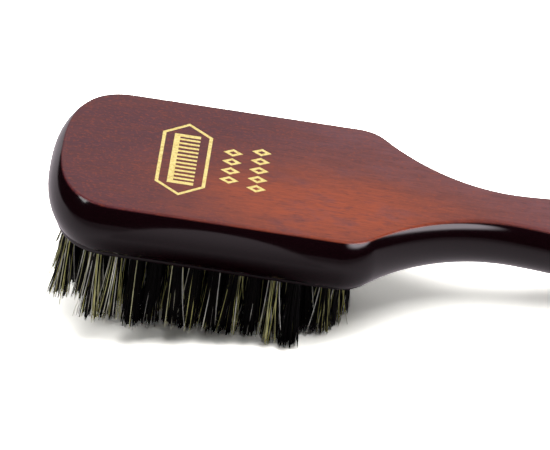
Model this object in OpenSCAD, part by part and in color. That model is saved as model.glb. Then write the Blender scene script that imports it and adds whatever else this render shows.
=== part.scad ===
// Barber's fade brush: a flat wooden back and handle cut in one piece, with rows of
// bristle tufts set in blind holes underneath, each folded over a flat wire anchor,
// and a gold foil emblem pressed into the back.
// It stands on its bristle tips. The origin is on the floor under the middle of the
// brush, +X points along the handle and +Z is up, out of the back.

/* [Wooden body] */
// Length over both rounded ends
body_l = 220; // [208:0.5:232]
// Width of the head over its rounded sides
head_w = 56.6; // [55:0.2:60]
// Length of the parallel head, from its end to where the shoulder starts
head_l = 76; // [75:0.2:80]
// Thickness of the head
head_t = 14.8; // [13:0.1:18]
// Width of the neck over its rounded sides, at its narrowest
neck_w = 19; // [15:0.2:24]
// Distance of the narrowest neck from the head's end
neck_x = 117; // [114:0.5:125]
// Thickness of the neck and the handle
neck_t = 12.6; // [11:0.1:14]
// Width of the grip over its rounded sides, at its widest
grip_w = 28; // [24:0.2:32]
// Distance of the widest grip from the head's end
grip_x = 180; // [172:0.5:186]
// How far the rounded sides swell past the edge of the flat back
bulge = 2.9; // [1.5:0.1:3.5]
// Radius of each rounded shoulder, along the edge of the flat back
shoulder_r = 9.5; // [6:0.5:14]
// Angle that each shoulder turns through
shoulder_turn = 46; // [36:1:50]

/* [Bristles] */
// Length of bristle showing under the wood
bristle_l = 21; // [15:0.5:26]
// Diameter of the drilled holes
hole_d = 3.2; // [2.6:0.1:3.4]
// Depth of the drilled holes
hole_depth = 8.5; // [6:0.5:10]
// Distance from one hole to the next along a row
pitch = 5; // [4.9:0.1:5]
// Distance from one row to the next
row_pitch = 5.2; // [4.9:0.1:5.2]
// Width of a tuft at its spread tip
tip_d = 4.6; // [3.4:0.1:4.7]

/* [Anchors] */
// Width of the flat anchor wire across the hole
anchor_w = 3.7; // [3.5:0.1:3.9]
// Thickness of the anchor wire
anchor_t = 0.35; // [0.3:0.05:0.5]
// Height of the anchor wire along the hole
anchor_h = 2; // [1.5:0.1:2.5]

/* [Emblem] */
// Distance of the border's middle from the head's end
emblem_x = 33.3; // [30:0.1:36]
// Length of the six-sided border across the brush
border_l = 32.6; // [28:0.2:36]
// Width of the border along the brush
border_w = 12.8; // [11:0.2:14]
// Length of each pointed end of the border
border_point = 5; // [3:0.5:6]
// Width of the foil lines
line_w = 0.9; // [0.6:0.1:1]
// Depth of the pressed foil
foil_t = 0.3; // [0.2:0.05:0.5]

/* [Hidden] */
rows = 9;
row_holes = 15;
row_names = [for (r = [1 : rows]) str("tuft_row_", r)];
anchor_names = [for (r = [1 : rows]) str("anchor_row_", r)];
foil_names = ["foil_border", "foil_comb", "foil_lozenges_short", "foil_lozenges_long"];

// Heights, from the floor at the bristle tips
underside_z = bristle_l;
back_z = underside_z + head_t;
// The head's end along X, over its rounded side, and the edge of the flat back there
end_x = -body_l / 2;
edge_x = end_x + bulge;

// Outline of the flat back, from the head's end to the grip's end, on the +Y side
head_y = head_w / 2 - bulge;
neck_y = neck_w / 2 - bulge;
grip_y = grip_w / 2 - bulge;
head_round = 16;        // length of the head's rounded end
round_power = 2.5;      // superellipse power of that end
shoulder_lead = 10;     // reach of the hollow curve's handle at the shoulder
neck_lead = 15;         // reach of the hollow curve's handle at the neck
grip_leads = [10, 34];  // reach of the grip curve's handles, at the neck and at its widest
grip_power = 2.2;       // superellipse power of the grip's end
thin_reach = 10.5;      // distance past the shoulder's start where half of the thinning is done
end_steps = 14;
shoulder_steps = 8;
hollow_steps = 16;
grip_steps = 12;

function superellipse(a, power) = [pow(abs(cos(a)), 2 / power), pow(abs(sin(a)), 2 / power)];
function bezier(p, t) =
    p[0] * pow(1 - t, 3) + 3 * p[1] * pow(1 - t, 2) * t + 3 * p[2] * (1 - t) * t * t + p[3] * pow(t, 3);

shoulder_x = end_x + head_l;
waist_x = end_x + neck_x;
widest_x = end_x + grip_x;
grip_end_x = -edge_x;
// The shoulder is an arc that turns inwards, and a hollow curve runs on from it to the neck
function shoulder(a) = [shoulder_x + shoulder_r * sin(a), head_y - shoulder_r * (1 - cos(a))];
shoulder_end = shoulder(shoulder_turn);
hollow_curve = [
    shoulder_end, shoulder_end + shoulder_lead * [cos(shoulder_turn), -sin(shoulder_turn)],
    [waist_x - neck_lead, neck_y], [waist_x, neck_y]];
grip_curve = [
    [waist_x, neck_y], [waist_x + grip_leads[0], neck_y],
    [widest_x - grip_leads[1], grip_y], [widest_x, grip_y]];
head_end = [for (i = [0 : end_steps]) let (s = superellipse(90 * i / end_steps, round_power))
    [edge_x + head_round * (1 - s[0]), head_y * s[1]]];
grip_end = [for (i = [1 : end_steps]) let (s = superellipse(90 - 90 * i / end_steps, grip_power))
    [widest_x + (grip_end_x - widest_x) * s[0], grip_y * s[1]]];
outline = concat(
    head_end,
    [for (i = [0 : shoulder_steps]) shoulder(shoulder_turn * i / shoulder_steps)],
    [for (i = [1 : hollow_steps]) bezier(hollow_curve, i / hollow_steps)],
    [for (i = [1 : grip_steps]) bezier(grip_curve, i / grip_steps)],
    grip_end);
last = len(outline) - 1;

// The outline's outward direction at each point, from its neighbours on either side
function flip(p) = [p[0], -p[1]];
function before(i) = i == 0 ? flip(outline[1]) : outline[i - 1];
function after(i) = i == last ? flip(outline[last - 1]) : outline[i + 1];
function outward(i) = let (d = after(i) - before(i)) [-d[1], d[0]] / norm(d);

// Thickness along the brush: full under the bristle field. Past the shoulder's start the
// extra thickness of the head dies away as 1 / (1 + (distance / reach) squared).
function thickness(x) = neck_t + (head_t - neck_t) / (1 + pow(max(0, x - shoulder_x) / thin_reach, 2));

// The rounded side is an arc from the back's edge to the underside's edge
side_steps = 12;
function side_point(i, k) =
    let (
        t = thickness(outline[i][0]),
        r = (t * t / 4 + bulge * bulge) / (2 * bulge),
        a = asin(t / 2 / r) * (1 - 2 * k / side_steps),
        out = r * cos(a) - r + bulge,
        p = outline[i] + outward(i) * out)
    [p[0], p[1], back_z - t / 2 + r * sin(a)];

// Every station is a ring: down the +Y side, then up the -Y side. At the two ends both
// sides are the same points, so the ring closes to a single line.
side_points = side_steps + 1;
ring = 2 * side_points;
body_points = [for (i = [0 : last]) for (k = [0 : ring - 1])
    k < side_points ? side_point(i, k) : let (p = side_point(i, ring - 1 - k)) [p[0], -p[1], p[2]]];
function index(i, k) = i * ring + ((i == 0 || i == last) && k >= side_points ? ring - 1 - k : k);
// Each patch between two stations is split from its lower corner, and a side that has
// closed to a point is left out
function patch(i, k) =
    let (n = (k + 1) % ring, a = index(i, k), b = index(i, n), c = index(i + 1, n), d = index(i + 1, k))
    [if (a != b) [a, b, c], if (c != d) [a, c, d]];
body_faces = [for (i = [0 : last - 1]) for (k = [0 : ring - 1]) each patch(i, k)];

// Holes stand in straight rows, and every second row is set half a pitch along. A hole
// keeps a rim of wood between it and the edge of the rounded end. Towards the shoulders the
// field's corners are cut off on a slant: the distances along and across add up to no more.
first_hole_x = edge_x + 5;
rim = 2.5;
corner_cut = 89;
function end_half_width(x) =
    let (u = min(1, max(0, 1 - (x - edge_x) / head_round)))
    head_y * pow(1 - pow(u, round_power), 1 / round_power);
function row_y(r) = (r - (rows + 1) / 2) * row_pitch;
function row_spots(r) =
    [for (c = [0 : row_holes - 1 - r % 2])
        let (x = first_hole_x + (c + (r % 2) / 2) * pitch)
        if (end_half_width(x) - abs(row_y(r)) >= rim && x - end_x + abs(row_y(r)) <= corner_cut)
            [x, row_y(r)]];

fit_gap = 0.05;         // between a tuft and the wall of its hole
fold = 0.8;             // thickness of the bristles folded round the anchor
hole_top_z = underside_z + hole_depth;
anchor_z = hole_top_z - fit_gap - fold - anchor_h;
fine = 48;

module at_spots(r) {
    for (p = row_spots(r))
        translate([p[0], p[1], 0]) children();
}

module hole() {
    translate([0, 0, underside_z - 1]) cylinder(d = hole_d, h = hole_depth + 1, $fn = fine);
}

module anchor() {
    translate([-anchor_t / 2, -anchor_w / 2, anchor_z]) cube([anchor_t, anchor_w, anchor_h]);
}

// A tuft: its folded root in the hole, and the bristles spreading to the tips
module tuft() {
    root_d = hole_d - 2 * fit_gap;
    difference() {
        union() {
            cylinder(d1 = tip_d, d2 = root_d, h = underside_z, $fn = fine);
            translate([0, 0, underside_z])
                cylinder(d = root_d, h = hole_depth - fit_gap, $fn = fine);
        }
        anchor();
    }
}

module wooden_body() {
    color([0.36, 0.13, 0.09]) difference() {
        polyhedron(points = body_points, faces = body_faces);
        for (r = [1 : rows]) at_spots(r) {
            hole();
            anchor();
        }
        foil_recess() {
            border_shape();
            comb_shape();
            lozenge_row(short_row, short_row_x);
            lozenge_row(long_row, long_row_x);
        }
    }
}

module tuft_row(r) {
    color([0.08, 0.08, 0.08]) at_spots(r) tuft();
}

module anchor_row(r) {
    color([0.8, 0.7, 0.45]) at_spots(r) anchor();
}

// Emblem: a border with six sides, its long sides straight and its ends pointed. Moving
// every side in by the same inset moves each point in by the inset over the slope's cosine.
border_x = end_x + emblem_x;
module six_sides(inset) {
    half_w = border_w / 2 - inset;
    slope = border_point / (border_w / 2);
    tip = border_l / 2 - inset * sqrt(1 + slope * slope);
    corner = tip - slope * half_w;
    side = [[half_w, -corner], [half_w, corner], [0, tip]];
    polygon(concat(side, -side));
}

module border_shape() {
    translate([border_x, 0]) difference() {
        six_sides(0);
        six_sides(line_w);
    }
}

// Inside it lies a comb: a back along one side, and teeth with a stouter one at each end
teeth = 13;
tooth_gap = 1.75;
tooth_l = 5.2;
comb_back = 1.5;
end_tooth = 1.3;
module comb_shape() {
    half_l = (teeth - 1) / 2 * tooth_gap;
    translate([border_x - (tooth_l + comb_back) / 2, 0]) {
        translate([0, -half_l - end_tooth / 2]) square([comb_back, 2 * half_l + end_tooth]);
        for (i = [0 : teeth - 1])
            let (w = i == 0 || i == teeth - 1 ? end_tooth : line_w, y = i * tooth_gap - half_l)
                translate([0, y - w / 2]) square([comb_back + tooth_l, w]);
    }
}

// Beyond it lie two rows of open lozenges, across the brush
lozenge_l = 5.2;
lozenge_w = 3.4;
lozenge_gap = 4.1;
short_row = 4;
long_row = 5;
short_row_x = border_x + 12;
long_row_x = short_row_x + 7.1;
module lozenge(size) {
    polygon([[-lozenge_l / 2, 0], [0, -lozenge_w / 2], [lozenge_l / 2, 0], [0, lozenge_w / 2]] * size);
}
module lozenge_row(count, x) {
    // from the middle to a side, so that the line has the same width all round
    reach = lozenge_l * lozenge_w / 2 / norm([lozenge_l, lozenge_w]);
    for (i = [0 : count - 1])
        translate([x, (i - (count - 1) / 2) * lozenge_gap]) difference() {
            lozenge(1);
            lozenge(1 - line_w / reach);
        }
}

// The foil lies a hair under the back, at the bottom of a shallow pressed recess
foil_gap = 0.05;
module foil_recess() {
    translate([0, 0, back_z - foil_t - foil_gap]) linear_extrude(foil_t + foil_gap + 1) children();
}
module foil() {
    color([0.85, 0.65, 0.3])
        translate([0, 0, back_z - foil_t - foil_gap]) linear_extrude(foil_t) children();
}
module foil_border() { foil() border_shape(); }
module foil_comb() { foil() comb_shape(); }
module foil_lozenges_short() { foil() lozenge_row(short_row, short_row_x); }
module foil_lozenges_long() { foil() lozenge_row(long_row, long_row_x); }

wooden_body();
for (r = [1 : rows]) tuft_row(r);
for (r = [1 : rows]) anchor_row(r);
foil_border();
foil_comb();
foil_lozenges_short();
foil_lozenges_long();
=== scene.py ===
import math

import bmesh
import bpy
import numpy as np
from mathutils import Matrix, Quaternion, Vector


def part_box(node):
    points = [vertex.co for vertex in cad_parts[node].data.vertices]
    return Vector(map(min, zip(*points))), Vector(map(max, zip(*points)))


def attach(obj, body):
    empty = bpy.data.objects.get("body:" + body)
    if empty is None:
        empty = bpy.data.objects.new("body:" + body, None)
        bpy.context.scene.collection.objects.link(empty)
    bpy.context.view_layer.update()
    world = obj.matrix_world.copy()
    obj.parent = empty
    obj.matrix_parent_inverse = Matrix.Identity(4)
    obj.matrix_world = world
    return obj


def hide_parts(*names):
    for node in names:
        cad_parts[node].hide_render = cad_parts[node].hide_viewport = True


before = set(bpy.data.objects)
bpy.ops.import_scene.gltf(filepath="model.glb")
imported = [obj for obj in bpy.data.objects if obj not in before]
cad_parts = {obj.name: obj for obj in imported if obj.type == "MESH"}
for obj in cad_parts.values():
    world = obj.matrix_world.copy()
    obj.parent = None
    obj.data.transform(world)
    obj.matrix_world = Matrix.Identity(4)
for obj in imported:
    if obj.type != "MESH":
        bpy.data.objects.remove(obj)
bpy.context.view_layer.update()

mm = 0.001
scene = bpy.context.scene
woodLow, woodHigh = (np.array(corner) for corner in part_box("wooden_body"))
rowNames = sorted((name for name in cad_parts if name.startswith("tuft_row_")),
                  key=lambda name: int(name.split("_")[-1]))


def newObject(name, mesh):
    piece = bpy.data.objects.new(name, mesh)
    scene.collection.objects.link(piece)
    return piece


# Four-sided faces from an (n, 4) array of point numbers, put into the mesh as whole arrays
def quadMesh(name, points, quads, smooth=True):
    mesh = bpy.data.meshes.new(name)
    mesh.vertices.add(len(points))
    mesh.vertices.foreach_set("co", np.asarray(points, dtype=np.float32).ravel())
    mesh.loops.add(quads.size)
    mesh.loops.foreach_set("vertex_index", quads.astype(np.int32).ravel())
    mesh.polygons.add(len(quads))
    mesh.polygons.foreach_set("loop_start", np.arange(0, quads.size, 4, dtype=np.int32))
    mesh.polygons.foreach_set("use_smooth", np.full(len(quads), smooth))
    mesh.update(calc_edges=True)
    mesh.validate()
    return mesh


# Smooth step: 3 t squared minus 2 t cubed, held at 0 and 1 outside the range
def ease(t):
    t = np.clip(t, 0, 1)
    return t * t * (3 - 2 * t)


def finishPiece(piece, material, node):
    piece.data.materials.append(material)
    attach(piece, "root")
    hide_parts(node)


cameraSet = {
    "azimuth": 0.2,       # degrees, 0 looks along +Y
    "elevation": 34.5,
    "roll": 8.5,
    "distance": 2.14,
    "lens": 561,
    "aim": (-0.0515, -0.0229, 0.0358),
}


def makeCamera(c):
    turn, rise, roll = (math.radians(c[key]) for key in ("azimuth", "elevation", "roll"))
    flat = math.cos(rise)
    back = Vector((math.sin(turn) * flat, -math.cos(turn) * flat, math.sin(rise)))
    level = Vector((math.cos(turn), math.sin(turn), 0))
    upright = back.cross(level)
    right = math.cos(roll) * level + math.sin(roll) * upright
    camera = newObject("camera", bpy.data.cameras.new("camera"))
    axes = Matrix((right, back.cross(right), back)).transposed().to_4x4()
    camera.matrix_world = Matrix.Translation(Vector(c["aim"]) + back * c["distance"]) @ axes
    camera.data.lens = c["lens"]
    scene.camera = camera


makeCamera(cameraSet)
print("camera ready")


# A small builder for materials: nodes are made with their values and their links by socket name
class Finish:
    def __init__(self, name):
        self.material = bpy.data.materials.new(name)
        self.material.use_nodes = True
        self.tree = self.material.node_tree
        self.shader = self.tree.nodes["Principled BSDF"]

    def node(self, kind, links=None, **values):
        made = self.tree.nodes.new(kind)
        for key, value in values.items():
            if hasattr(made, key):
                setattr(made, key, value)
            else:
                made.inputs[key].default_value = value
        for key, source in (links or {}).items():
            self.tree.links.new(source, made.inputs[key])
        return made

    # Object coordinates in features: a feature is as long along each axis as size says
    def place(self, size, shift=(0, 0, 0)):
        coords = self.node("ShaderNodeTexCoord").outputs["Object"]
        made = self.node("ShaderNodeMapping", {"Vector": coords})
        made.inputs["Scale"].default_value = [1 / length for length in size]
        made.inputs["Location"].default_value = shift
        return made.outputs["Vector"]

    def noise(self, size, detail=2.0, roughness=0.5, shift=(0, 0, 0), distortion=0.0):
        made = self.node("ShaderNodeTexNoise", {"Vector": self.place(size, shift)}, Scale=1.0,
                         Detail=detail, Roughness=roughness, Distortion=distortion)
        return made.outputs["Fac"]

    def ramp(self, factor, *stops):
        made = self.node("ShaderNodeValToRGB", {"Fac": factor})
        marks = made.color_ramp.elements
        for i, (at, colour) in enumerate(stops):
            mark = marks[i] if i < 2 else marks.new(at)
            mark.position = at
            mark.color = (*colour, 1)
        return made.outputs["Color"]

    # Sockets 0, 6 and 7 of a mix of colours are its factor and the two colours
    def mix(self, factor, first, second):
        made = self.node("ShaderNodeMix", data_type="RGBA")
        for number, value in ((0, factor), (6, first), (7, second)):
            socket = made.inputs[number]
            if isinstance(value, bpy.types.NodeSocket):
                self.tree.links.new(value, socket)
            elif isinstance(value, tuple):
                socket.default_value = (*value, 1)
            else:
                socket.default_value = value
        return made.outputs[2]

    def remap(self, value, low, high, toLow=0.0, toHigh=1.0):
        made = self.node("ShaderNodeMapRange", {"Value": value}, interpolation_type="SMOOTHSTEP")
        ends = {"From Min": low, "From Max": high, "To Min": toLow, "To Max": toHigh}
        for key, amount in ends.items():
            made.inputs[key].default_value = amount
        return made.outputs["Result"]

    # How far a point is from a centre, counted in lengths that differ along each axis
    def distance(self, centre, size):
        shift = [-at / length for at, length in zip(centre, size)]
        return self.node("ShaderNodeVectorMath", {"Vector": self.place(size, shift)},
                         operation="LENGTH").outputs["Value"]

    def connect(self, source, socket):
        self.tree.links.new(source, self.shader.inputs[socket])

    def settle(self, **values):
        for key, value in values.items():
            socket = self.shader.inputs[key.replace("_", " ")]
            socket.default_value = (*value, 1) if isinstance(value, tuple) else value

    def bump(self, height, strength, distance):
        made = self.node("ShaderNodeBump", {"Height": height}, Strength=strength, Distance=distance)
        self.connect(made.outputs["Normal"], "Normal")


lacquer = {
    "red": (0.165, 0.033, 0.018),       # the stain on most of the back
    "deepRed": (0.112, 0.022, 0.017),
    # plum and rose are partly stain and partly a painted sheen of the lacquer
    "plum": (0.078, 0.018, 0.025),      # towards the head's end
    "rose": (0.136, 0.044, 0.051),      # towards the neck
    "orange": (0.300, 0.050, 0.014),    # where the stain was wiped thin
    "pore": (0.030, 0.006, 0.007),
    "side": (0.0045, 0.0007, 0.0016),   # the sides and the underside are stained nearly black
    "thinAt": (0.072, -0.012, 0),       # middle of the wiped patch, from the head's end
    "thinSize": (0.032, 0.015, 1),
    "roseFrom": 0.040,                  # plum turns to rose between here and
    "roseTo": 0.085,                    # here, from the head's end
    "backRoughness": 0.32,
    "sideRoughness": 0.12,
    "gloss": 0.36,                      # specular level
    "sideFrom": 0.65 * mm,              # the dark stain is full this far below the back
    "polishFrom": 0.6 * mm,             # and the smoother finish this far
    "backTo": 0.2 * mm,                 # and both end this far below it
}

# Length, width and depth of each figure in the wood. All of them run along the brush.
grain = {
    "streak": {"size": (0.026, 0.0042, 0.012), "detail": 4.0, "roughness": 0.62, "distortion": 0.6},
    "cloud": {"size": (0.013, 0.0075, 0.013), "detail": 3.0, "roughness": 0.6,
              "shift": (3.1, 0.4, 0)},
    "mottle": {"size": (0.0042, 0.0019, 0.003), "detail": 3.0, "roughness": 0.65,
               "shift": (1.3, 5.2, 0)},
    "fibre": {"size": (0.0060, 0.0006, 0.0012), "roughness": 0.6},
    "fleck": {"size": (0.0009, 0.0006, 0.0009), "roughness": 0.7},
    "pore": {"size": (0.0028, 0.00045, 0.0010), "detail": 1.0, "shift": (7, 2, 0)},
    "ripple": {"size": (0.010, 0.003, 0.003)},
}


# Stained wood under lacquer. The tone is red, turns to plum or rose away from the wiped
# patch and to orange in it, and each figure of the grain then darkens or lightens it.
# The plum and rose are partly the stain and partly a painted sheen of the lacquer,
# greyer towards the head's end and pinker towards the neck.
def lacqueredWood(v, figures, backZ, headX):
    f = Finish("lacquered wood")
    axes = f.node("ShaderNodeSeparateXYZ", {"Vector": f.place((1, 1, 1))}).outputs
    noises = (f.noise(**figure) for figure in figures.values())
    streak, cloud, mottle, fibre, fleck, pore, ripple = noises
    wiped = f.distance((headX + v["thinAt"][0], *v["thinAt"][1:]), v["thinSize"])
    towardsNeck = f.remap(axes["X"], headX + v["roseFrom"], headX + v["roseTo"])
    # partly painted sheen: plum at the head's end turning to rose at the neck
    even = f.mix(towardsNeck, v["plum"], v["rose"])
    tone = f.mix(f.remap(cloud, 0.50, 0.70, 0.0, 0.30), v["red"], v["orange"])
    tone = f.mix(f.remap(wiped, 0.7, 2.1), tone, even)
    tone = f.mix(f.remap(streak, 0.60, 0.34, 0.0, 0.55), tone, v["deepRed"])
    tone = f.mix(f.remap(wiped, 0.1, 1.5, 0.85, 0.0), tone, v["orange"])
    tone = f.mix(f.remap(cloud, 0.50, 0.30, 0.0, 0.50), tone, even)
    tone = f.mix(f.remap(mottle, 0.50, 0.28, 0.0, 0.40), tone, v["plum"])
    tone = f.mix(f.remap(fibre, 0.36, 0.62, 0.24, 0.0), tone, v["pore"])
    tone = f.mix(f.remap(pore, 0.62, 0.74, 0.0, 0.42), tone, v["pore"])
    tone = f.mix(f.remap(fleck, 0.50, 0.72, 0.0, 0.35), tone, v["orange"])
    edge = backZ - v["backTo"]
    side = f.remap(axes["Z"], backZ - v["sideFrom"], edge, 1.0, 0.0)
    f.connect(f.mix(side, tone, v["side"]), "Base Color")
    polish = f.remap(axes["Z"], backZ - v["polishFrom"], edge, v["sideRoughness"],
                     v["backRoughness"])
    f.connect(polish, "Roughness")
    f.settle(Specular_IOR_Level=v["gloss"])
    f.bump(f.mix(0.35, ripple, f.mix(0.5, fibre, pore)), 0.25, 0.05 * mm)
    return f.material


hairColours = {
    "black": (0.0012, 0.0010, 0.0018),
    "brown": (0.0045, 0.0035, 0.0030),
    "white": (0.90, 0.86, 0.80),
    "yellow": (0.60, 0.56, 0.22),
    "straw": (0.80, 0.76, 0.46),
    "darkShare": 0.70,          # strands below this tone are dark, those above are light
    "step": 0.01,               # on either side of it no strand has its tone
    "whiteTo": 0.10,            # white ends this far above it
    "yellowFrom": 0.13,         # and yellow starts
    "yellowTo": 0.93,           # from this tone yellow turns to straw
}


def bristleHair(v):
    f = Finish("bristle")
    strand = f.node("ShaderNodeAttribute", attribute_name="strand").outputs["Fac"]
    split, step = v["darkShare"], v["step"]
    shade = f.ramp(strand, (0.0, v["black"]), (split - step, v["brown"]),
                   (split + step, v["white"]), (split + v["whiteTo"], v["white"]),
                   (split + v["yellowFrom"], v["yellow"]), (v["yellowTo"], v["yellow"]),
                   (1.0, v["straw"]))
    along = f.noise((0.0012, 0.0012, 0.009), 2.0)
    f.connect(f.mix(f.remap(along, 0.35, 0.7, 0.0, 0.6), shade, v["brown"]), "Base Color")
    f.settle(Roughness=0.42, Specular_IOR_Level=0.10)
    return f.material


foilColours = {
    "worn": (0.60, 0.44, 0.13),
    "gold": (0.82, 0.65, 0.23),
    "bright": (0.92, 0.79, 0.34),
}


def goldFoil(v):
    f = Finish("gold foil")
    wear = f.noise((0.0009, 0.0009, 0.004), 3.0, 0.65)
    f.connect(f.ramp(wear, (0.30, v["worn"]), (0.48, v["gold"]), (0.7, v["bright"])), "Base Color")
    f.connect(f.remap(wear, 0.3, 0.7, 0.34, 0.52), "Roughness")
    f.settle(Metallic=0.35)
    f.bump(wear, 0.3, 0.02 * mm)
    return f.material


wireColours = {
    "dull": (0.60, 0.42, 0.16),
    "bright": (0.78, 0.60, 0.28),
}


def anchorWire(v):
    f = Finish("anchor wire")
    drawn = f.noise((0.0033, 0.00033, 0.00033), 3.0)
    f.connect(f.ramp(drawn, (0.3, v["dull"]), (0.7, v["bright"])), "Base Color")
    f.settle(Metallic=1.0, Roughness=0.3)
    return f.material


wood = {
    "bulge": 2.9 * mm,          # how far the rounded sides pass the edge of the flat back
    "shoulderAt": 76 * mm,      # head's end to the start of the shoulder
    "shoulderRadius": 9.5 * mm,
    "shoulderTurn": 46,         # degrees
    "shoulderLead": 10 * mm,
    "neckLead": 15 * mm,
    "neckAt": 117 * mm,         # head's end to the narrowest neck
    "neckWidth": 19 * mm,
    "neckThickness": 12.6 * mm,
    "thinReach": 10.5 * mm,     # past the shoulder's start, where half of the thinning is done
    "gripAt": 180 * mm,         # head's end to the widest grip
    "gripWidth": 28 * mm,
    "gripLeads": (10 * mm, 34 * mm),
    "gripPower": 2.2,
    "headRound": 16 * mm,       # length of the head's rounded end
    "headPower": 2.5,
    "crown": 0.10 * mm,         # how far the back is sanded down at its edge
    "crownWidth": 6 * mm,
    "edgeRound": 0.4 * mm,      # softening of the back's edge along the head
    "neckRound": 1.3 * mm,      # and along the neck
    "neckRoundFrom": 86 * mm,
    "lipHeight": 1.1 * mm,      # upright lip along the bottom edge of the head
    "lipFrom": 56 * mm,         # from here it thins, measured from the head's end
    "lipTo": 92 * mm,
    "neckLip": 0.25 * mm,       # and this is left of it along the neck
    "lipInset": 0.25 * mm,
    "lipRound": 0.18,           # of the lip's height
    "flatInset": 0.6 * mm,      # extra loop that keeps the underside flat
    "endSteps": 56,
    "straightSteps": 16,
    "shoulderSteps": 30,
    "hollowSteps": 50,
    "gripSteps": 36,
    "crownSteps": 6,
    "sideSteps": 18,
    "cornerSteps": 6,
    "cornerReach": 1.2,         # softening down the side, as a share of that on the back
    "tuftPitch": 5 * mm,        # from hole to hole along a row
    "holeWidth": 3.2 * mm,
    "holeDepth": 8.5 * mm,
    "holeSides": 20,
    "drillClear": 1 * mm,       # how far the drills reach out of the wood
    "weldGap": 1e-7,
    "sharpAngle": 40,           # degrees
}


# Quarter of a superellipse: |cos| and |sin| each to the power 2 over n
def superellipse(turn, power):
    return np.abs(np.cos(turn)) ** (2 / power), np.abs(np.sin(turn)) ** (2 / power)


# Cubic Bezier: the four points weighted (1-t)^3, 3(1-t)^2 t, 3(1-t) t^2 and t^3
def bezier(points, steps):
    start, leave, arrive, end = np.array(points)
    t = np.linspace(0, 1, steps + 1)[1:, None]
    return (start * (1 - t) ** 3 + 3 * leave * (1 - t) ** 2 * t + 3 * arrive * (1 - t) * t * t
            + end * t ** 3)


# Edge of the flat back on the +Y side, from the head's end to the grip's end: a
# superellipse, a straight, an arc for the shoulder, two Bezier curves and a superellipse
def backOutline(w, low, high):
    headX, halfHead = low[0] + w["bulge"], high[1] - w["bulge"]
    halfNeck, halfGrip = w["neckWidth"] / 2 - w["bulge"], w["gripWidth"] / 2 - w["bulge"]
    shoulderX, neckX, gripX = (low[0] + w[key] for key in ("shoulderAt", "neckAt", "gripAt"))
    endX = high[0] - w["bulge"]
    quarter = np.linspace(0, math.pi / 2, w["endSteps"] + 1)
    c, s = superellipse(quarter, w["headPower"])
    head = np.stack([headX + w["headRound"] * (1 - c), halfHead * s], 1)
    straight = np.linspace(head[-1], (shoulderX, halfHead), w["straightSteps"] + 1)[1:]
    full = math.radians(w["shoulderTurn"])
    turn = np.linspace(0, full, w["shoulderSteps"] + 1)[1:]
    radius = w["shoulderRadius"]
    shoulder = np.stack([shoulderX + radius * np.sin(turn),
                         halfHead - radius * (1 - np.cos(turn))], 1)
    onward = shoulder[-1] + w["shoulderLead"] * np.array([math.cos(full), -math.sin(full)])
    hollow = bezier([shoulder[-1], onward, (neckX - w["neckLead"], halfNeck), (neckX, halfNeck)],
                    w["hollowSteps"])
    leadIn, leadOut = w["gripLeads"]
    grip = bezier([(neckX, halfNeck), (neckX + leadIn, halfNeck), (gripX - leadOut, halfGrip),
                   (gripX, halfGrip)], w["gripSteps"])
    c, s = superellipse(quarter[::-1][1:], w["gripPower"])
    end = np.stack([gripX + (endX - gripX) * c, halfGrip * s], 1)
    return np.concatenate([head, straight, shoulder, hollow, grip, end])


# Outward direction: the tangent between a point's two neighbours, turned a right angle
def outwardOf(line):
    mirror = np.array([1, -1])
    padded = np.concatenate([line[1:2] * mirror, line, line[-2:-1] * mirror])
    along = padded[2:] - padded[:-2]
    normal = np.stack([-along[:, 1], along[:, 0]], 1)
    return normal / np.linalg.norm(normal, axis=1, keepdims=True)


# Section for each thickness t, as pairs of how far out of the outline and how far below
# the back. The back falls off by the crown times (1 - inset over its width) squared. The
# side is an arc of radius (t^2/4 + bulge^2) / (2 bulge), and ends in an upright lip whose
# lower edge is rounded. The corner between them is a quadratic curve, level where it leaves
# the back and along the arc where it meets the side.
def sectionOf(w, t, soft, lipHeight):
    t, soft, lipHeight = t[:, None], soft[:, None], lipHeight[:, None]
    r = (t * t / 4 + w["bulge"] ** 2) / (2 * w["bulge"])
    lipAngle = np.arcsin((t / 2 - lipHeight) / r)
    topAngle = np.arcsin(t / 2 / r) - w["cornerReach"] * soft / r
    part = np.linspace(0, 1, w["sideSteps"] + 1)[None, :]
    angle = topAngle * (1 - part) - lipAngle * part
    arc = np.stack([r * np.cos(angle) - r + w["bulge"], r * np.sin(angle) - t / 2], 2)
    inset = w["crownWidth"] + (soft - w["crownWidth"]) * np.linspace(0, 1, w["crownSteps"] + 1)
    drop = w["crown"] * (1 - inset / w["crownWidth"]) ** 2
    crown = np.stack([-inset, -drop], 2)
    start, end = crown[:, -1:], arc[:, :1]
    back = (start[..., 1] - end[..., 1]) / np.cos(topAngle)
    meet = np.stack([end[..., 0] - back * np.sin(topAngle), start[..., 1]], 2)
    u = np.linspace(0, 1, w["cornerSteps"] + 1)[None, 1:-1, None]
    corner = start * (1 - u) ** 2 + meet * 2 * u * (1 - u) + end * u * u
    lipOut = arc[:, -1] * (1, 0) - (w["lipInset"], 0) - t * (0, 1)
    curl = w["lipRound"]
    lip = np.stack([lipOut + lipHeight * (-inwards, up) for inwards, up in (
        (0, 1 - curl), (0, 0.5), (0, curl), (0.3 * curl, 0.3 * curl), (curl, 0))], 1)
    return np.concatenate([crown, corner, arc, lip, lip[:, -1:] - (w["flatInset"], 0)], 1)


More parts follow.
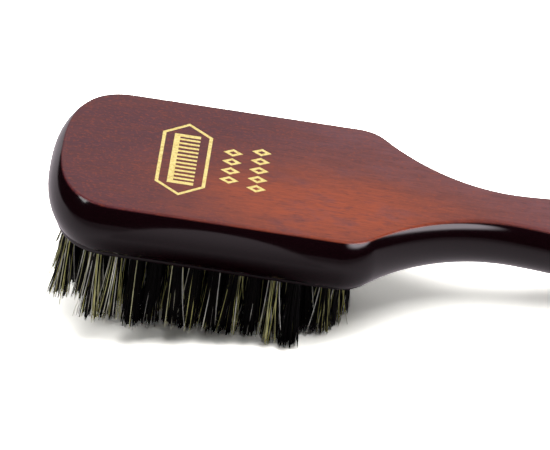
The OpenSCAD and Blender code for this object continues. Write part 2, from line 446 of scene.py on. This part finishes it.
# Body: the section carried along the outline on both sides. Point = outline + outward
# times out, at the back's height plus the section's, and a centre line closes each flat.
# Past the shoulder's start the head's extra thickness dies away as
# 1 / (1 + (distance / reach)^2).
def woodenBody(w, low, high):
    line = backOutline(w, low, high)
    normal = outwardOf(line)
    headT, along = high[2] - low[2], line[:, 0] - low[0]
    past = np.maximum(0, along - w["shoulderAt"]) / w["thinReach"]
    t = w["neckThickness"] + (headT - w["neckThickness"]) / (1 + past * past)
    neck = ease((along - w["neckRoundFrom"]) / (w["neckAt"] - w["neckRoundFrom"]))
    soft = w["edgeRound"] + (w["neckRound"] - w["edgeRound"]) * neck
    thinned = ease((along - w["lipFrom"]) / (w["lipTo"] - w["lipFrom"]))
    lipHeight = w["lipHeight"] + (w["neckLip"] - w["lipHeight"]) * thinned
    section = sectionOf(w, t, soft, lipHeight)
    flat = line[:, None, :] + normal[:, None, :] * section[:, :, :1]
    side = np.concatenate([flat, high[2] + section[:, :, 1:]], 2)
    side[0, :, 1] = side[-1, :, 1] = 0
    centreTop, centreLow = side[:, :1] * (1, 0, 1), side[:, -1:] * (1, 0, 1)
    rings = np.concatenate([centreTop, side, centreLow, side[:, ::-1] * (1, -1, 1)], 1)
    count, around = rings.shape[:2]
    number = np.arange(count * around).reshape(count, around)
    ahead = np.roll(number, -1, axis=1)
    quads = np.stack([number[:-1], ahead[:-1], ahead[1:], number[1:]], 2).reshape(-1, 4)
    mesh = quadMesh("woodenBody", rings.reshape(-1, 3), quads)
    weld(mesh, w["weldGap"])
    return newObject("woodenBody", mesh)


# Doubled points along the centre lines and at both ends become one
def weld(mesh, gap):
    b = bmesh.new()
    b.from_mesh(mesh)
    bmesh.ops.remove_doubles(b, verts=b.verts, dist=gap)
    bmesh.ops.dissolve_degenerate(b, edges=b.edges, dist=gap)
    bmesh.ops.recalc_face_normals(b, faces=b.faces)
    b.to_mesh(mesh)
    b.free()


# Drills for the tufts' holes and dies for the foil's recesses are cut out in one go
def cutBody(body, w, low, spots, dies):
    b = bmesh.new()
    radius, clear = w["holeWidth"] / 2, w["drillClear"]
    lift = low[2] + (w["holeDepth"] - clear) / 2
    for x, y in spots:
        bmesh.ops.create_cone(b, cap_ends=True, segments=w["holeSides"], radius1=radius,
                              radius2=radius, depth=w["holeDepth"] + clear,
                              matrix=Matrix.Translation((x, y, lift)))
    for die in dies:
        b.from_mesh(die)
    mesh = bpy.data.meshes.new("cutters")
    b.to_mesh(mesh)
    b.free()
    cutters = newObject("cutters", mesh)
    cut = body.modifiers.new("cut", "BOOLEAN")
    cut.operation, cut.solver, cut.object = "DIFFERENCE", "EXACT", cutters
    shown = body.evaluated_get(bpy.context.evaluated_depsgraph_get())
    body.data = bpy.data.meshes.new_from_object(shown)
    body.data.set_sharp_from_angle(angle=math.radians(w["sharpAngle"]))
    body.modifiers.clear()
    bpy.data.objects.remove(cutters)


emblem = {
    "line": 0.9 * mm,
    "point": 5 * mm,            # length of each pointed end of the border
    "teeth": 13,
    "toothGap": 1.75 * mm,
    "combBack": 1.5 * mm,
    "endTooth": 1.3 * mm,
    "lozengeWidth": 3.4 * mm,
    "lozengeGap": 4.1 * mm,
    "recess": 0.35 * mm,
    "dieClear": 1 * mm,         # how far the dies reach out of the back
}


# Flat patch between two outlines with as many points each, the outer one first
def ringPatch(outer, inner):
    i = np.arange(len(outer))
    j = np.roll(i, -1)
    return np.concatenate([outer, inner]), np.stack([i, j, j + len(outer), i + len(outer)], 1)


# Border: six corners, each moved in by the inset over the cosine of the slope beside it
def borderPatch(e, low, high):
    middle, (halfW, halfL) = (low + high) / 2, (high - low) / 2
    slope = e["point"] / halfW

    def sixSides(inset):
        tip = halfL - inset * math.sqrt(1 + slope * slope)
        reach = halfW - inset
        side = np.array([(reach, slope * reach - tip), (reach, tip - slope * reach), (0, tip)])
        return np.concatenate([side, -side]) + middle

    return [ringPatch(sixSides(0), sixSides(e["line"]))]


# Comb: a back cut at every tooth's sides, and a tooth on every second piece of it
def combPatch(e, low, high):
    row = np.arange(e["teeth"])
    centres = low[1] + e["endTooth"] / 2 + row * e["toothGap"]
    half = np.where((row == 0) | (row == e["teeth"] - 1), e["endTooth"], e["line"]) / 2
    y = np.stack([centres - half, centres + half], 1).ravel()
    columns = [low[0], low[0] + e["combBack"], high[0]]
    points = np.concatenate([np.column_stack([np.full(len(y), x), y]) for x in columns])
    i = np.arange(len(y) - 1)
    back = np.stack([i, i + len(y), i + len(y) + 1, i + 1], 1)
    teeth = back[::2] + len(y)
    return [(points, np.concatenate([back, teeth]))]


# Lozenges: the inner outline is the outer one, scaled so that the line keeps its width
def lozengePatches(e, low, high):
    halfL, halfW = (high[0] - low[0]) / 2, e["lozengeWidth"] / 2
    reach = halfL * halfW / math.hypot(halfL, halfW)
    shape = np.array([(-halfL, 0), (0, -halfW), (halfL, 0), (0, halfW)])
    count = round((high[1] - low[1] - e["lozengeWidth"]) / e["lozengeGap"]) + 1
    places = np.arange(count) * e["lozengeGap"] + low[1] + halfW
    return [ringPatch(shape + at, shape * (1 - e["line"] / reach) + at)
            for at in ((low[0] + halfL, y) for y in places)]


# Slab: flat patches given a top, a bottom, and a wall along each edge that one face has alone
def slab(name, patches, low, high):
    points, quads, offset = [], [], 0
    for flat, faces in patches:
        n = len(flat)
        edges = np.stack([faces, np.roll(faces, -1, 1)], 2).reshape(-1, 2)
        alone = ~np.isin(edges @ (n, 1), edges[:, ::-1] @ (n, 1))
        rim = edges[alone]
        walls = np.column_stack([rim, rim[:, ::-1] + n])
        points += [np.column_stack([flat, np.full(n, z)]) for z in (low, high)]
        quads += [part + offset for part in (faces + n, faces[:, ::-1], walls)]
        offset += 2 * n
    return quadMesh(name, np.concatenate(points), np.concatenate(quads), smooth=False)


emblemNodes = {
    "foilBorder": ("foil_border", borderPatch),
    "foilComb": ("foil_comb", combPatch),
    "foilLozengesShort": ("foil_lozenges_short", lozengePatches),
    "foilLozengesLong": ("foil_lozenges_long", lozengePatches),
}

gold = goldFoil(foilColours)
dies = []
for name, (node, shapePatches) in emblemNodes.items():
    low, high = (np.array(corner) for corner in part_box(node))
    patches = shapePatches(emblem, low[:2], high[:2])
    foil = newObject(name, slab(name, patches, low[2], high[2]))
    finishPiece(foil, gold, node)
    dies.append(slab("die", patches, woodHigh[2] - emblem["recess"],
                     woodHigh[2] + emblem["dieClear"]))
print("foil ready")

# Tufts stand evenly along each row, whose box is one tip longer than from the first tuft's
# middle to the last one's
rowSpots = {}
for name in rowNames:
    low, high = (np.array(corner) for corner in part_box(name))
    half = (high[1] - low[1]) / 2
    gaps = round((high[0] - low[0] - 2 * half) / wood["tuftPitch"])
    xs = np.linspace(low[0] + half, high[0] - half, gaps + 1)
    rowSpots[name] = np.stack([xs, np.full(len(xs), (low[1] + high[1]) / 2)], 1)
allSpots = np.concatenate(list(rowSpots.values()))

body = woodenBody(wood, woodLow, woodHigh)
cutBody(body, wood, woodLow, allSpots, dies)
finish = lacqueredWood(lacquer, grain, woodHigh[2], woodLow[0])
finishPiece(body, finish, "wooden_body")
print("wooden body ready", len(body.data.polygons))

bristles = {
    "perTuft": 120,
    "rootRadius": 1.42 * mm,    # of the bunch in its hole
    "strandRadius": 0.12 * mm,
    "lightRadius": 0.105 * mm,
    "insideHole": 2.5 * mm,     # how far up the hole a strand is made
    "spread": 1.75,             # tip circle over root circle
    "tuftLean": 1.3 * mm,       # whole tufts lean by this much, at random
    "strandLean": 1.0 * mm,     # and each strand by this much more
    "lightLean": 2.5 * mm,      # light strands stray further
    "sideLean": 1.4 * mm,       # tufts along the long sides lean out
    "frontLean": 1.9 * mm,      # more of it towards the head's end
    "endLean": 1.1 * mm,        # and those at the head's end lean out more
    "unevenTuft": 0.5 * mm,
    "unevenStrand": 0.7 * mm,
    "rootUneven": 0.05,         # of the bunch's radius
    "spreadUneven": (0.85, 1.15),
    "radiusUneven": (0.8, 1.2),
    "darkGap": 0.04,            # dark tones end this far below the dark share
    "lightGap": 0.02,           # and light ones start this far above it
    "rimShare": 0.2,            # outer share of the field where tufts lean out
    "knee": (0.2, 0.2, 0.55),   # the curve's control point, as shares of root to tip
    "segments": 5,
    "tipTaper": 0.65,           # tip width over root width
    "lightShare": 0.09,
    "lightTufts": 0.52,         # share of tufts with more light strands
    "lightShareThere": 0.29,
    "seed": 7,
}


# Strand: a quadratic curve from root to tip that leaves the hole almost straight down, with
# a square ring of points at each step. Every strand of a row is worked out at once.
def strandMesh(name, root, tip, radius, tone, b):
    steps = b["segments"] + 1
    t = np.linspace(0, 1, steps)[None, :, None]
    knee = root + (tip - root) * b["knee"]
    path = root[:, None] * (1 - t) ** 2 + knee[:, None] * 2 * t * (1 - t) + tip[:, None] * t * t
    corner = np.arange(4) * math.pi / 2
    square = np.stack([np.cos(corner), np.sin(corner), np.zeros(4)], 1)
    width = radius[:, None] * (1 - (1 - b["tipTaper"]) * t[..., 0] ** 3)
    points = path[:, :, None, :] + square[None, None] * width[:, :, None, None]
    count = len(root)
    number = np.arange(count * steps * 4).reshape(count, steps, 4)
    ahead = np.roll(number, -1, axis=2)
    walls = np.stack([number[:, :-1], number[:, 1:], ahead[:, 1:], ahead[:, :-1]], 3)
    caps = np.stack([number[:, 0], number[:, -1, ::-1]], 1)
    quads = np.concatenate([walls.reshape(count, -1, 4), caps], 1)
    mesh = quadMesh(name, points.reshape(-1, 3), quads.reshape(-1, 4))
    layer = mesh.attributes.new("strand", "FLOAT", "POINT")
    layer.data.foreach_set("value", np.repeat(tone, steps * 4).astype(np.float32))
    return mesh


# Tuft: roots fill the hole's circle on a spiral, turned by the golden angle from one to the
# next and out by the square root of the number. Each tip lies further out on the same ray,
# moved by the tuft's lean and its own.
def tuftStrands(b, spot, fieldLow, fieldHigh, topZ, darkShare, rng):
    count = b["perTuft"]
    turn = np.arange(count) * math.pi * (3 - math.sqrt(5)) + rng.uniform(0, 2 * math.pi)
    out = np.sqrt(np.arange(0.5, count) / count)[:, None]
    inner = out * np.stack([np.cos(turn), np.sin(turn)], 1)
    inner += rng.normal(0, b["rootUneven"], inner.shape)
    middle, half = (fieldLow + fieldHigh) / 2, (fieldHigh - fieldLow) / 2
    outer, away = b["rimShare"], spot - middle
    rim = np.clip((np.abs(away) / half - (1 - outer)) / outer, 0, 1) * np.sign(away)
    lean = rng.normal(0, b["tuftLean"] / 2, 2)
    ahead = max((middle - spot)[0] / half[0], 0)
    lean += (min(rim[0], 0) * b["endLean"], rim[1] * (b["sideLean"] + b["frontLean"] * ahead))
    share = b["lightShareThere"] if rng.random() < b["lightTufts"] else b["lightShare"]
    light = rng.random(count) < share
    root = np.column_stack([spot + inner * b["rootRadius"], np.full(count, topZ + b["insideHole"])])
    stray = np.where(light, b["lightLean"], b["strandLean"])[:, None] / 2
    flat = spot + inner * b["rootRadius"] * b["spread"] * rng.uniform(*b["spreadUneven"]) + lean
    flat += rng.normal(0, 1, (count, 2)) * stray
    rise = abs(rng.normal(0, b["unevenTuft"])) + np.abs(rng.normal(0, b["unevenStrand"], count))
    tip = np.column_stack([flat, rise])
    lightTone = rng.uniform(darkShare + b["lightGap"], 1.0, count)
    tone = np.where(light, lightTone, rng.uniform(0, darkShare - b["darkGap"], count))
    radius = np.where(light, b["lightRadius"], b["strandRadius"])
    radius = radius * rng.uniform(*b["radiusUneven"], count)
    return root, tip, radius, tone


rng = np.random.default_rng(bristles["seed"])
hair = bristleHair(hairColours)
for name in rowNames:
    parts = [tuftStrands(bristles, spot, allSpots.min(0), allSpots.max(0), woodLow[2],
                         hairColours["darkShare"], rng) for spot in rowSpots[name]]
    label = name.replace("tuft", "bristle")
    root, tip, radius, tone = (np.concatenate(part) for part in zip(*parts))
    strands = newObject(label, strandMesh(label, root, tip, radius, tone, bristles))
    finishPiece(strands, hair, name)
print("bristles ready")

wire = anchorWire(wireColours)
for name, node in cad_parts.items():
    if name.startswith("anchor_row_"):
        node.data.materials.clear()
        node.data.materials.append(wire)

# Metres and watts
lamps = {
    "overhead": {"place": (0.06, -0.14, 1.4), "aim": (0, 0, 0), "size": (0.9, 1.45), "power": 26},
    "backCard": {"place": (0, 1.3, 0.9), "aim": (0, 0, 0), "size": (2.4, 1.3), "power": 8},
    "leftBox": {"place": (-0.8, -0.25, 0.62), "aim": (-0.08, 0, 0.03), "size": (0.3, 0.3),
                "power": 2.2},
}
unreflected = "overhead"        # this lamp gives light but doesn't show in reflections


def areaLight(name, place, aim, size, power):
    data = bpy.data.lights.new(name, "AREA")
    data.shape = "RECTANGLE"
    data.size, data.size_y = size
    data.energy = power
    lamp = newObject(name, data)
    lamp.location = place
    lamp.rotation_euler = (Vector(aim) - Vector(place)).to_track_quat("-Z", "Y").to_euler()
    lamp.visible_camera = False
    return lamp


def stagePiece(name, points, quads, material):
    piece = newObject(name, quadMesh(name, points, quads))
    piece.data.materials.append(material)
    return piece


for name, lamp in lamps.items():
    areaLight(name, **lamp).visible_glossy = name != unreflected

reflectionTint = (1.0, 0.89, 0.96)
oneQuad = np.array([[0, 1, 2, 3]])
flatCorners = np.array([(-1, -1, 0), (1, -1, 0), (1, 1, 0), (-1, 1, 0)]) / 2


# A card that shows in reflections only
def reflectedCard(name, points, quads, finish, strength):
    finish.settle(Base_Color=(0, 0, 0), Specular_IOR_Level=0.0, Emission_Color=reflectionTint)
    finish.connect(strength, "Emission Strength")
    card = stagePiece(name, points, quads, finish.material)
    card.visible_camera = card.visible_diffuse = card.visible_shadow = False
    return card


rightGlow = {
    "place": (0.33, -0.25, 0.45),
    "aim": (0.17, 0, 0.03),
    "size": (0.80, 0.40),
    "turn": -14,                # degrees
    "peak": 8.5,
}


# Glow: a rectangular card whose light fades in an ellipse, from half way out to its rim
def glowCard(name, place, aim, size, turn, peak):
    f = Finish(name)
    rim = f.distance((0, 0, 0), (size[0] / 2, size[1] / 2, 1))
    strength = f.remap(rim, 0.50, 1.0, peak, 0.0)
    card = reflectedCard(name, flatCorners * (*size, 1), oneQuad, f, strength)
    card.location = place
    towards = (Vector(place) - Vector(aim)).to_track_quat("-Z", "Y")
    card.rotation_euler = (towards @ Quaternion((0, 0, 1), math.radians(turn))).to_euler()


glowCard("rightGlow", **rightGlow)

frontArch = {
    "middle": 44.5 * mm,        # from the head's end
    "width": 57 * mm,
    "height": 54 * mm,
    "foot": -10 * mm,
    "y": -75 * mm,
    "low": 0.45,                # brightness at the table
    "high": 1.05,               # and at the top
    "power": 0.8,
    "points": 41,
}


# Arch: an upright card in front of the head, brighter towards its top. Its upper edge at
# u, from -1 to 1 across, is at the height times (1 - u^2) to the power given.
def archCard(name, headX, middle, width, height, foot, y, low, high, power, points):
    u = np.linspace(-1, 1, points)
    x = headX + middle + u * width / 2
    bottom = np.column_stack([x, np.full(len(u), y), np.full(len(u), foot)])
    top = np.column_stack([x, np.full(len(u), y), height * (1 - u * u) ** power])
    i = np.arange(len(u) - 1)
    quads = np.stack([i, i + 1, i + 1 + len(u), i + len(u)], 1)
    f = Finish(name)
    rise = f.node("ShaderNodeSeparateXYZ", {"Vector": f.place((1, 1, 1))}).outputs["Z"]
    strength = f.remap(rise, 0.0, height, low, high)
    reflectedCard(name, np.concatenate([bottom, top]), quads, f, strength)


archCard("frontArch", woodLow[0], **frontArch)

table = {
    "size": 6,
    "sink": 1 * mm,             # how far the last bristle tips give under the brush
    "albedo": 0.75,
    "exposed": 3.9,             # the camera sees it this many times brighter
    "tint": (1.0, 0.985, 0.94),         # of the shadows that the camera sees
    # near, far and fade set the painted light that reflections see on the paper
    "near": 0.85,               # how bright reflections see it behind and under the brush
    "far": 0.28,                # and in front of it
    "fade": 0.25,               # over this distance
    # painted shadow of the head on what reflections see of the paper
    "shadeAt": (0.045, -0.022, 0),      # the head darkens it here, from the head's end
    "shadeSize": (0.045, 0.050, 1),
}


# Paper on the table. It is brighter to the camera, so that only the deepest shadow shows.
# What the lacquer reflects of it is a glow, though it is no lamp, with painted light that
# fades from under the brush to the front and a painted shadow where the head stands.
def studioPaper(v, headX):
    f = Finish("studio paper")
    f.settle(Base_Color=(v["albedo"],) * 3, Roughness=0.9, Specular_IOR_Level=0.0)
    across = f.node("ShaderNodeSeparateXYZ", {"Vector": f.place((1, 1, 1))}).outputs["Y"]
    # painted light: bright under and behind the brush, fading to the front
    front = f.remap(across, -v["fade"], 0.0, v["far"], v["near"])
    # painted shadow of the head, darkest at its middle
    middle = (headX + v["shadeAt"][0], *v["shadeAt"][1:])
    shade = f.remap(f.distance(middle, v["shadeSize"]), 0.3, 1.6)
    strength = f.node("ShaderNodeMath", {0: front, 1: shade}, operation="MULTIPLY").outputs[0]
    glow = f.node("ShaderNodeEmission", {"Strength": strength}, Color=(*reflectionTint, 1))
    tint = tuple(v["albedo"] * v["exposed"] * share for share in v["tint"])
    bright = f.node("ShaderNodeBsdfDiffuse", Color=tint + (1,))
    ray = f.node("ShaderNodeLightPath").outputs
    paint = f.shader
    for kind, then in (("Is Glossy Ray", glow), ("Is Camera Ray", bright)):
        links = {0: ray[kind], 1: paint.outputs[0], 2: then.outputs[0]}
        paint = f.node("ShaderNodeMixShader", links)
    f.tree.links.new(paint.outputs[0], f.tree.nodes["Material Output"].inputs["Surface"])
    return f.material


# The brush lies tipped onto the end of its handle, so the table slopes up from the last
# bristle tips to the handle's end
tipsEnd = max(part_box(name)[1][0] for name in rowNames)
handleEnd = woodHigh[0] - wood["bulge"]
slope = (woodHigh[2] - wood["neckThickness"] - table["sink"]) / (handleEnd - tipsEnd)
floorPoints = flatCorners * 2 * table["size"]
floorPoints[:, 2] = table["sink"] + slope * (floorPoints[:, 0] - tipsEnd)
stagePiece("floor", floorPoints, oneQuad, studioPaper(table, woodLow[0]))

air = {
    "room": 0.12,               # even light from all round
    "darkRoom": 0.015,          # what reflections see of it
    "backdrop": 1.0,            # what the camera sees past the table
}
world = bpy.data.worlds.new("world")
scene.world = world
world.use_nodes = True
tree = world.node_tree
path = tree.nodes.new("ShaderNodeLightPath")


def background(strength):
    made = tree.nodes.new("ShaderNodeBackground")
    made.inputs["Color"].default_value = (1, 1, 1, 1)
    made.inputs["Strength"].default_value = strength
    return made.outputs[0]


# One background for rays of the named kind, the other for all the rest
def either(ray, otherwise, then):
    made = tree.nodes.new("ShaderNodeMixShader")
    for socket, source in zip(made.inputs, (path.outputs[ray], otherwise, then)):
        tree.links.new(source, socket)
    return made.outputs[0]


seen = either("Is Glossy Ray", background(air["room"]), background(air["darkRoom"]))
seen = either("Is Camera Ray", seen, background(air["backdrop"]))
tree.links.new(seen, tree.nodes["World Output"].inputs["Surface"])
scene.view_settings.view_transform = "Standard"
print("studio ready")
